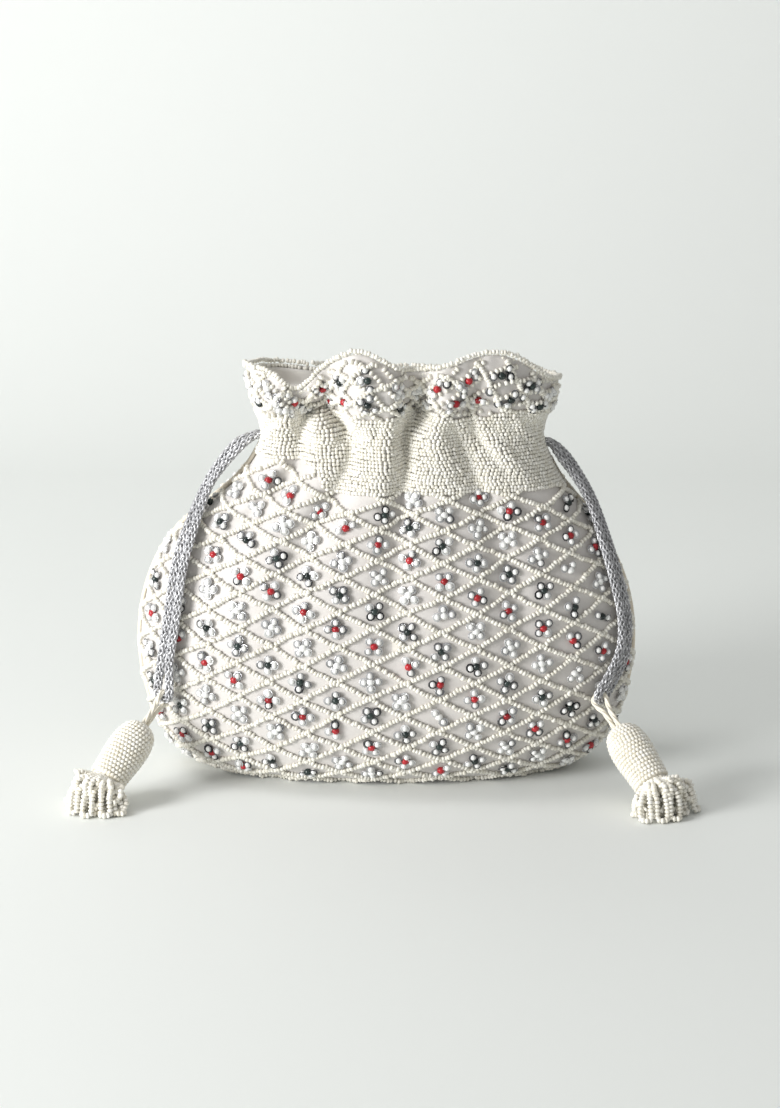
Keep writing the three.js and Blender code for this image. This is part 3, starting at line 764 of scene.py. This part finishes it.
# %% Lattice strings
DIAMOND_WIDTH = 27.6
DIAMOND_HEIGHT = 14.4
LATTICE_S = -5.5
LATTICE_T = 92.0
BEAD_PITCH = 1.5
BEAD_RADIUS = 1.27
SEAM_MARGIN = 0.045
FRILL_TOP = 0.985


def band_foot(across):
    """The level where the solid neck band begins: higher at the left."""
    return 0.66 + 0.06 * (1.0 - ease(-0.66, -0.4, across))


def band_top(across):
    """The level where the band ends and the frill begins, wavering a little."""
    return 0.888 + 0.012 * np.sin(9.0 * across + 0.6)


def lattice(chart, on_frill):
    """Places, normals and directions of the beads of both families of strings."""
    slope = DIAMOND_HEIGHT / DIAMOND_WIDTH
    step = BEAD_PITCH / math.hypot(1.0, slope)
    s = np.arange(-CHART_REACH, CHART_REACH, step)[None, :]
    k = (np.arange(-48, 49)[:, None] / 2 + 0.25) if on_frill else (np.arange(-24, 25)[:, None] + 0.5)
    found = []
    for tilt in (1.0, -1.0):
        t = LATTICE_T + tilt * slope * (s - LATTICE_S) + k * DIAMOND_HEIGHT
        s_all, t_all = by_hand(np.broadcast_to(s, t.shape).ravel(), t.ravel())
        angle, level = read_chart(chart, s_all, t_all)
        across = -np.cos(angle)
        inside = (angle > SEAM_MARGIN) & (angle < math.pi - SEAM_MARGIN) & (t_all > 1.0)
        zone = (level > band_top(across)) & (level < FRILL_TOP) if on_frill else level < band_foot(across)
        keep = inside & zone
        heading = unit(np.array([1.0, tilt * slope]))
        found.append(cloth_frame(chart, s_all[keep], t_all[keep], heading))
    return [np.concatenate(parts) for parts in zip(*found)]


for name, chart in charts.items():
    for zone, on_frill in (("body", False), ("frill", True)):
        point, normal, along = lattice(chart, on_frill)
        place = point + 0.8 * normal + chance.normal(0.0, 0.16, point.shape)
        size = BEAD_RADIUS * chance.uniform(0.86, 1.1, len(point))
        sew(f"{name}_{zone}_lattice", SEED, place, along, normal, BEAD_PITCH * 1.03, size, CREAM)

# %% [markdown]
# ## The neck band
# Where the cords run, the cloth is solid with rows of cream beads laid side by side, which
# follow the pleats into their depth.

# %% Rows round the neck
ROW_PITCH = 1.56
for name, chart in charts.items():
    t_low, t_high = np.interp([0.65, 0.91], chart["levels"], chart["t"])
    rows = np.arange(t_low, t_high, ROW_PITCH)[:, None]
    s = np.arange(-CHART_REACH, CHART_REACH, BEAD_PITCH)[None, :] + chance.uniform(0, BEAD_PITCH, rows.shape)
    t = np.broadcast_to(rows, s.shape).ravel()
    s = s.ravel()
    angle, level = read_chart(chart, s, t)
    across = -np.cos(angle)
    inside = (angle > SEAM_MARGIN) & (angle < math.pi - SEAM_MARGIN)
    inside &= (level > band_foot(across)) & (level < band_top(across))
    point, normal, along = cloth_frame(chart, s[inside], t[inside], np.array([1.0, 0.0]))
    place = point + 0.75 * normal + chance.normal(0.0, 0.1, point.shape)
    size = chance.uniform(0.92, 1.04, len(point))
    sew(f"{name}_neck_rows", SEED, place, along, normal, BEAD_PITCH * 1.06, size, NECK_CREAM)

# %% [markdown]
# ## The flowers
# Every diamond holds a flower: a coloured bead in the middle and four white beads close
# round it, each in a cup sequin. The colours run along the falling diagonals in threes:
# red, black, white. Dark and clear cups are mixed, with most of the dark ones on the black
# flowers and few on the white.

# %% Flowers in the diamonds
PETALS = np.array([[2.9, 0.0], [-2.9, 0.0], [0.0, 2.6], [0.0, -2.6]])
# Each kind: name, the middle's finish, and the share of its cups that are dark
FLOWERS = [("red", RED, 0.3), ("black", BLACK, 0.6), ("white", PEARL, 0.1)]


def flower_places(chart):
    """Chart places of the diamonds' middles with their colour number; on the frill they are
    twice as close."""
    i, j = (grid.ravel() for grid in np.meshgrid(np.arange(-14, 15), np.arange(-24, 25)))
    s, t = by_hand(LATTICE_S + i * DIAMOND_WIDTH / 2, LATTICE_T + j * DIAMOND_HEIGHT / 2)
    angle, level = read_chart(chart, s, t)
    across = -np.cos(angle)
    inside = (angle > 0.11) & (angle < math.pi - 0.11) & (outline_at(level)[2] > 3.0)
    on_body = (level < band_foot(across) - 0.01) & ((i + j) % 2 == 0)
    on_frill = (level > band_top(across) + 0.012) & (level < 0.98)
    inside &= on_body | on_frill
    return s[inside], t[inside], ((i + j) // 2 % 3)[inside]


def petal_places(s, t):
    """Four chart places round each flower, each flower turned and spaced by chance."""
    turn = chance.uniform(-0.8, 0.8, s.shape)[:, None]
    reach = chance.uniform(0.85, 1.12, (len(s), 4))
    x = reach * PETALS[:, 0]
    y = reach * PETALS[:, 1]
    petal_s = s[:, None] + x * np.cos(turn) - y * np.sin(turn)
    petal_t = t[:, None] + x * np.sin(turn) + y * np.cos(turn)
    return petal_s.ravel(), petal_t.ravel()


LEVEL_HEADING = np.array([1.0, 0.0])
for name, chart in charts.items():
    s, t, colour = flower_places(chart)
    s = s + chance.normal(0.0, 0.5, s.shape)
    t = t + chance.normal(0.0, 0.35, t.shape)
    for number, (hue, finish, dark_share) in enumerate(FLOWERS):
        own = colour == number
        point, normal, along = cloth_frame(chart, s[own], t[own], LEVEL_HEADING)
        sew(f"{name}_{hue}_middles", ROUND, point + 0.95 * normal, along, normal, 1.75, 1.6, finish)
        petal_s, petal_t = petal_places(s[own], t[own])
        angle, level = read_chart(chart, petal_s, petal_t)
        inside = (angle > 0.04) & (angle < math.pi - 0.04) & (level < FRILL_TOP)
        inside &= chance.random(inside.shape) < 0.94
        point, normal, along = cloth_frame(chart, petal_s[inside], petal_t[inside], LEVEL_HEADING)
        tipped = unit(normal + chance.normal(0.0, 0.2, normal.shape))
        size = chance.uniform(1.75, 2.15, len(point))
        dark = chance.random(len(point)) < dark_share
        for shade, cup_finish, part in (("dark", DARK_CUP, dark), ("clear", CLEAR_CUP, ~dark)):
            sew(f"{name}_{hue}_{shade}_cups", SEQUIN, (point + 0.9 * normal)[part], along[part], tipped[part],
                size[part], size[part], cup_finish, slot="silver_cord")
        sew(f"{name}_{hue}_petals", ROUND, point + 1.3 * normal, along, tipped, 1.2, 1.3, PEARL)

# %% [markdown]
# ## The mouth
# The frill's edge is bound with two strings of beads, one on the rim and one just inside it.


# %% Edging round the frill
def rim_path(level, inset, lift):
    """The frill's edge all round, front from left to right and back from right to left."""
    angle = np.linspace(0.02, math.pi - 0.02, 400)
    front = cloth_point(FRONT, angle, level, inset)
    back = cloth_point(BACK, angle[::-1], level, inset)
    path = np.concatenate([front, back, front[:1]])
    path[:, 2] += lift
    return path


def even_steps(path, pitch):
    """Points at even distances along a path, with the directions there."""
    run = np.concatenate([[0.0], np.cumsum(np.linalg.norm(np.diff(path, axis=0), axis=1))])
    count = int(run[-1] / pitch)
    place = (np.arange(count) + 0.5) * run[-1] / count
    middle = np.stack([np.interp(place, run, path[:, i]) for i in range(3)], -1)
    ahead = np.stack([np.interp(place + 0.2, run, path[:, i]) for i in range(3)], -1)
    return middle, unit(ahead - middle)


UPRIGHT = np.array([0.0, 0.0, 1.0])
for label, level, inset, lift in (("rim", 1.0, 1.3, 0.7), ("inner", 0.99, 2.6, 0.0)):
    middle, along = even_steps(rim_path(level, inset, lift), BEAD_PITCH)
    middle = middle + chance.normal(0.0, 0.2, middle.shape)
    edging = sew(f"{label}_edging_beads", SEED, middle, along, np.broadcast_to(UPRIGHT, along.shape),
                 BEAD_PITCH, 1.2, CREAM)
    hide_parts("mouth_edging")

# %% [markdown]
# ## The lining
# Satin hangs inside the panels, draws in behind the cords at the neck and opens again to
# meet the frill's edge. It is one open bag, with fine gathers of its own at the neck.


# %% Satin lining
def lining_point(face, angle, level):
    """The lining: inside the panels, drawn in at the cords, following the pleats in the frill."""
    width, depth, height = outline_at(level)
    released = ease(0.86, 0.955, level)
    slope_room = 1.9 * ease(0.42, 0.55, level) * (1.0 - released)
    drawn_in = ease(0.57, 0.71, level) * (1.0 - released)
    room = 3.6 + slope_room
    half_width = (width - room) * (1.0 - drawn_in) + 49.0 * drawn_in
    half_depth = (depth - room) * (1.0 - drawn_in) + 8.4 * drawn_in
    lift = 3.1 * (1.0 - ease(0.0, 30.0, height))
    bulge = half_depth * np.maximum(np.sin(angle), 0.0) ** FACE_ROUNDNESS
    seam = SEAM_OFFSET * np.minimum(1.0, np.sin(angle) / 0.2)
    across = -half_width * np.cos(angle) / width
    pleat = released * pleat_depth(face, across, level)
    gather = 0.5 * drawn_in * np.sin(44.0 * angle + 3.0 * np.sin(7.0 * angle)) * np.sin(angle)
    rise = ease(GATHER_LEVEL + 0.01, 1.0, level) * bumps(RISES[face], across)
    x = lean_at(height) - half_width * np.cos(angle)
    return np.stack([x, face * (seam + bulge - pleat + gather), height + lift + rise + 0.0 * x], axis=-1)


LINING_COLUMNS = 110
LINING_ROWS = 90
angles = np.linspace(0.0, math.pi, LINING_COLUMNS, endpoint=False)
levels = np.linspace(2.0 / 12.0, 0.99, LINING_ROWS)[:, None]
front = lining_point(FRONT, angles, levels)
back = lining_point(BACK, math.pi - angles, levels)
walls = np.concatenate([front, back], axis=1)
centre = walls[0].mean(axis=0)
base = centre + np.linspace(0.0, 0.95, 14)[:, None, None] * (walls[0] - centre)
grid = np.concatenate([base[1:], walls])
rows, columns = grid.shape[:2]
points = np.concatenate([grid.reshape(-1, 3), centre[None]])
quads = grid_faces(rows, columns, wrap=True)
first = np.arange(columns)
middle_fan = np.stack([np.full(columns, rows * columns), (first + 1) % columns, first], 1)
triangles = np.concatenate([quads[:, [0, 1, 2]], quads[:, [0, 2, 3]], middle_fan])
lining = add_piece("lining_bag", points, triangles[:, ::-1], SATIN, "lining_satin")
add_map(lining, np.concatenate([square_map(rows, columns), [[0.5, 0.0]]]))
thicken(lining, 0.4)
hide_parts("lining")
print("lining", len(lining.data.polygons), "faces")

# %% [markdown]
# ## The piped seam
# The two panels meet in a seam with a piping wrapped in thread that shows at both sides of
# the pouch. It stops at the openings for the cords and goes on along the frill. The wrap is
# real geometry: the tube's radius swells with every turn of the thread.


# %% Piping
def seam_point(side, level, inset):
    """A point of the side seam, a distance inside the outline along the outline's normal."""
    width, _, height = outline_at(level)
    above = outline_at(level + 0.001)
    below = outline_at(level - 0.001)
    rise = unit(np.stack([above[0] - below[0], above[2] - below[2]], -1))
    x = lean_at(height) + side * (width - inset * rise[..., 1])
    return np.stack([x, np.zeros_like(x), height + inset * rise[..., 0]], -1)


PIPING_RADIUS = 1.2
EXIT_MARGIN = 5.4
WRAP_PITCH = 1.0


def piped(name, path, node):
    """A cord wrapped in thread: radius = 1.1 + 0.1 cos(2 pi run / pitch) along the seam."""
    middle, _ = even_steps(path, WRAP_PITCH / 3)
    swell = PIPING_RADIUS - 0.1 + 0.1 * np.cos(2.0 * math.pi * np.arange(len(middle)) / 3.0)
    points, faces = sweep(middle, swell[None, :, None, None], 8, np.array([0.0, 1.0, 0.0]))
    piece = add_piece(name, points, faces, TAN, "piping_thread")
    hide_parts(node)


left_top = level_of_height(CORD_HEIGHT["left"] - EXIT_MARGIN)
right_top = level_of_height(CORD_HEIGHT["right"] - EXIT_MARGIN)
down_left = seam_point(-1.0, np.linspace(left_top, 0.06, 160), PIPING_RADIUS)
up_right = seam_point(1.0, np.linspace(0.06, right_top, 160), PIPING_RADIUS)
piped("seam_piping_cord", np.concatenate([down_left, up_right]), "seam_piping")
for name in ("left", "right"):
    start = level_of_height(CORD_HEIGHT[name] + EXIT_MARGIN)
    levels = np.linspace(start, 0.975, 60)
    path = seam_point(SIDE[name], levels, PIPING_RADIUS)
    path[:, 2] += ease(GATHER_LEVEL + 0.01, 1.0, levels) * bumps(RISES[FRONT], SIDE[name])
    piped(f"{name}_frill_piping_cord", path, f"{name}_frill_piping")

# %% [markdown]
# ## The tassels
# A silk thread is looped round the cord's bight and knotted inside a cap, which is closely
# covered with beads. Strings of beads hang from the cap in a thick mop of loops that spread
# on the floor. Each tassel rides on its own body, which turns about the bight.

# %% Thread and cap
CAP_START = 15.0
CAP_LENGTH = 27.0
CAP_OUTLINE = np.array([[0.0, 2.4], [0.6, 4.6], [3.0, 7.2], [8.0, 8.6], [14.0, 8.8], [20.0, 8.3], [27.0, 7.8]])
THREAD_RADIUS = 0.95


def tassel_axes(name):
    """The link point and the tassel's own x, y and z directions; z points back to the link."""
    middle, across, along, _ = drawstring_route(name)
    link = middle[-1] + BIGHT_RADIUS * along[-1]
    x_axis = across[-1] * np.sign(across[-1][0])
    z_axis = -HANG[name]
    return link, x_axis, np.cross(z_axis, x_axis), z_axis


def thread_legs():
    """Both legs of the thread's loop in its own frame: from over the bight down to the knot."""
    reach = CORD_RADIUS + THREAD_RADIUS + 0.45
    turn = np.radians([0.0, 55.0, 110.0])
    arc = np.stack([0 * turn, reach * np.sin(turn), reach * np.cos(turn)], -1)
    leg = np.array([[0.0, 1.4, -6.0], [0.0, 1.2, -12.0], [0.0, 1.2, -18.0], [0.0, 0.6, -20.0]])
    right = spline(np.concatenate([arc, leg]), np.linspace(0.0, 1.0, 90))
    return right, right * np.array([1.0, -1.0, 1.0])


def twisted(path, facing, plies, lay_radius, ply_radius, turn_mm):
    """Plies twisted round a path: ply j stands at angle 2 pi (j / plies + run / turn)."""
    run, beside, above = path_sides(path, facing)
    turn = 2.0 * math.pi * (np.arange(plies)[:, None] / plies + run / turn_mm)[..., None]
    return sweep(path + lay_radius * (np.cos(turn) * beside + np.sin(turn) * above), ply_radius, 6, facing)


def cap_beads():
    """Rows of beads round the cap: the outline's points at even steps, each with a ring."""
    outline = spline(CAP_OUTLINE, np.linspace(0.0, 1.0, 300))
    row, _ = even_steps(np.insert(outline, 2, 0.0, axis=1), 1.65)
    slope = unit(np.gradient(row[:, :2], axis=0))
    places, outs, alongs = [], [], []
    for index, ((down, radius, _), (slope_down, slope_radius)) in enumerate(zip(row, slope)):
        count = max(int(2 * math.pi * radius / 1.7), 6)
        turn = 2 * math.pi * (np.arange(count) + 0.5 * (index % 2)) / count
        spoke = np.stack([np.cos(turn), np.sin(turn), np.zeros(count)], -1)
        places.append((radius - 0.85) * spoke - np.array([0, 0, CAP_START + down]))
        outs.append(slope_down * spoke + np.array([0, 0, slope_radius]))
        alongs.append(np.broadcast_to([0.0, 0.0, -slope_down], spoke.shape) + slope_radius * spoke)
    return np.concatenate(places), unit(np.concatenate(outs)), unit(np.concatenate(alongs))


def cap_core():
    """The felt inside the beads: a turned shell along z, open at both ends."""
    outline = spline(CAP_OUTLINE, np.linspace(0.0, 1.0, 26))
    inner = outline[::-1] - np.array([0.0, 0.5])
    profile = np.concatenate([outline, inner, outline[:1]]) - np.array([0.0, 0.9])
    turn = np.linspace(0.0, 2.0 * math.pi, 28, endpoint=False)
    x = profile[:, 1:] * np.cos(turn)
    points = np.stack([x, profile[:, 1:] * np.sin(turn), -CAP_START - profile[:, :1] + 0.0 * x], -1)
    quads = grid_faces(len(profile) - 1, 28, wrap=True)
    seam = grid_faces(2, 28, wrap=True)
    seam = np.where(seam < 28, seam + 28 * (len(profile) - 2), seam - 28)
    return points[:-1].reshape(-1, 3), np.concatenate([quads, seam])


for name in ("left", "right"):
    axes = tassel_axes(name)
    body = f"{name}_tassel"
    turn = np.stack(axes[1:])
    legs = [twisted(leg @ turn + axes[0], axes[1], 3, 0.5, 0.62, 14.0) for leg in thread_legs()]
    points = np.concatenate([legs[0][0], legs[1][0]])
    faces = np.concatenate([legs[0][1], legs[1][1] + len(legs[0][0])])
    add_piece(f"{name}_silk_loop", points, faces, SILK, "silk_thread", body)
    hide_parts(f"{name}_tassel_thread")
    points, faces = cap_core()
    core = add_piece(f"{name}_cap_core", points @ turn + axes[0], faces, SILK, "silk_thread", body)
    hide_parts(f"{name}_tassel_cap")
    places, outs, alongs = cap_beads()
    sew(f"{name}_cap_beads", SEED, places @ turn + axes[0], alongs @ turn, outs @ turn, 1.65, 0.98,
        TASSEL_CREAM, body)

# %% [markdown]
# The fringe is a mop: an outer ring of loops spreads in a fan on the floor, and two rings
# inside it pile up in the middle. A loop leaves the cap along the tassel, bends down to the floor, turns
# and comes back beside itself.

# %% Fringe
FRINGE_FAN = math.radians(80.0)
FRINGE_BEAD = 1.35
CAD_LOOPS = 10
# Each ring of loops: how many, its radius in the cap, how far its upper and lower loops
# reach, how high its tips lie and how far its loops bulge
RINGS = [(13, 5.4, 16.5, 13.0, 0.0, 3.5), (10, 4.4, 14.0, 10.0, 5.0, 5.0), (7, 3.0, 10.0, 7.0, 9.0, 5.5)]


def fringe_leg(axes, ring_angle, ring_radius, reach, rise, bulge):
    """One leg of a loop: out of the cap along the tassel, bulging out, then down, fanning out."""
    link, _, _, z_axis = axes
    ahead = unit(np.array([-z_axis[0], -z_axis[1], 0.0]))
    sideways = np.array([-ahead[1], ahead[0], 0.0])
    upward = np.cross(-z_axis, sideways)
    upper = ring_angle < math.pi
    folded = ring_angle if upper else 2 * math.pi - ring_angle
    fan = FRINGE_FAN * (1.0 - folded / (math.pi / 2))
    heading = math.cos(fan) * ahead + math.sin(fan) * sideways
    centre = link - (CAP_START + CAP_LENGTH) * z_axis
    spoke = math.cos(ring_angle) * sideways + math.sin(ring_angle) * upward
    mouth = centre + ring_radius * spoke
    end = centre * np.array([1.0, 1.0, 0.0]) + reach * heading
    end[2] = FRINGE_BEAD + 0.05 + (rise if upper else 0.4 * rise)
    middle = 0.45 * mouth + 0.55 * end - (2.0 if upper else 0.5) * z_axis + bulge * spoke
    middle[2] = max(middle[2] + (1.5 if upper else 0.4), FRINGE_BEAD + 0.3)
    return [mouth + 7.0 * z_axis, mouth, middle, end], heading


def fringe_loop(axes, share, count, radius, upper_reach, lower_reach, rise, bulge):
    """A loop of string: down one leg, round its tip and up the next leg, no two quite alike."""
    angle = 2.0 * math.pi * share + chance.normal(0.0, 0.06)
    gap = 0.55 * math.pi / count
    reach = (upper_reach if angle < math.pi else lower_reach) * chance.uniform(0.85, 1.12)
    rise = rise * chance.uniform(0.6, 1.3)
    bulge = bulge * chance.uniform(0.3, 1.2)
    first, heading = fringe_leg(axes, angle - gap, radius, reach, rise, bulge)
    second, next_heading = fringe_leg(axes, angle + gap, radius, reach, rise, bulge)
    tip = (first[-1] + second[-1]) / 2 + 1.6 * unit(heading + next_heading)
    tip[2] = max(tip[2] - 1.0, FRINGE_BEAD + 0.05)
    loop = spline(np.array([*first, tip, *second[::-1]]), np.linspace(0.0, 1.0, 160))
    loop[:, 2] = np.maximum(loop[:, 2], FRINGE_BEAD + 0.02)
    return loop


for name in ("left", "right"):
    axes = tassel_axes(name)
    for ring, (count, *form) in enumerate(RINGS):
        shares = (np.arange(count) + 0.5) / count
        loops = [fringe_loop(axes, share, count, *form) for share in shares]
        steps = [even_steps(loop, 1.5) for loop in loops]
        places = np.concatenate([step[0] for step in steps])
        alongs = np.concatenate([step[1] for step in steps])
        fringe = sew(f"{name}_fringe_ring_{ring + 1}", SEED, places, alongs, np.cross(alongs, axes[1]), 1.55,
                     FRINGE_BEAD, TASSEL_CREAM, f"{name}_tassel")
        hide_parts(*[f"{name}_fringe_loop_{i + 1}" for i in range(CAD_LOOPS)])

# %% [markdown]
# ## The strands' paths
# Each strand's path is turned into points in metres, and nothing more is done with them.

# %% Strand paths in metres
for name, strands in strand_pieces.items():
    for piece in strands:
        path = strand_paths[piece.name]
        tuple(path[0] * MM)
        [tuple(point) for point in path * MM]

# %% [markdown]
# ## Floor and light
# A pale floor runs up into a pale backdrop. The backdrop is seen from its front only, so a
# view from behind looks through it. A soft window lamp stands at the left front, so the
# left of the pouch is bright and its shadow falls to the right and back.

# %% Stage
PAPER = {"Base_Color": (0.84, 0.86, 0.835), "Roughness": 0.7}
floor_finish, _ = new_finish("floor_paper", **PAPER)
backdrop_finish, tree = new_finish("backdrop_paper", **PAPER)
from_behind = add_node(tree, "ShaderNodeNewGeometry", output=6)
clear = add_node(tree, "ShaderNodeBsdfTransparent")
front_side = Shade(tree, tree.nodes["Principled BSDF"].outputs[0])
seen = add_node(tree, "ShaderNodeMixShader", None, {0: from_behind, 1: front_side, 2: clear})
tree.links.new(seen.socket, tree.nodes["Material Output"].inputs["Surface"])


def stage_sheet(name, run, rise, finish):
    """A wide sheet whose section goes through (run, rise), in metres."""
    points = np.stack(np.broadcast_arrays(np.array([-4.0, 4.0]), run[:, None], rise[:, None]), -1)
    mesh = bpy.data.meshes.new(name)
    mesh.from_pydata(points.reshape(-1, 3).tolist(), [], grid_faces(len(run), 2).tolist())
    mesh.polygons.foreach_set("use_smooth", np.ones(len(mesh.polygons), bool))
    mesh.materials.append(finish)
    sheet = bpy.data.objects.new(name, mesh)
    bpy.context.scene.collection.objects.link(sheet)


bend = np.linspace(0.0, math.pi / 2, 24)
stage_sheet("floor", np.array([-4.0, 4.0]), np.zeros(2), floor_finish)
stage_sheet("backdrop", np.append(0.6 + 0.5 * np.sin(bend), 1.1), np.append(0.5005 - 0.5 * np.cos(bend), 3.0),
            backdrop_finish)


def add_lamp(name, place, size, power, aim=(0.0, 0.0, 0.08)):
    """A square soft lamp at a place, facing an aim."""
    data = bpy.data.lights.new(name, "AREA")
    data.size = size
    data.energy = power
    lamp = bpy.data.objects.new(name, data)
    bpy.context.scene.collection.objects.link(lamp)
    lamp.location = place
    heading = np.array(aim) - np.array(place)
    spin = math.atan2(heading[1], heading[0]) - math.pi / 2
    tilt = math.atan2(-heading[2], math.hypot(heading[0], heading[1]))
    lamp.rotation_euler = (math.pi / 2 - tilt, 0.0, spin)


add_lamp("window", (-1.12, -0.8, 0.4), 0.55, 21.5)
add_lamp("backdrop_lamp", (-0.8, 0.1, 1.5), 0.6, 8.5, aim=(-0.3, 1.1, 0.7))
world = bpy.data.worlds.new("room")
bpy.context.scene.world = world
world.use_nodes = True
world.node_tree.nodes["Background"].inputs["Color"].default_value = (1.0, 1.0, 1.0, 1.0)
world.node_tree.nodes["Background"].inputs["Strength"].default_value = 0.385
bpy.context.scene.view_settings.view_transform = "Standard"
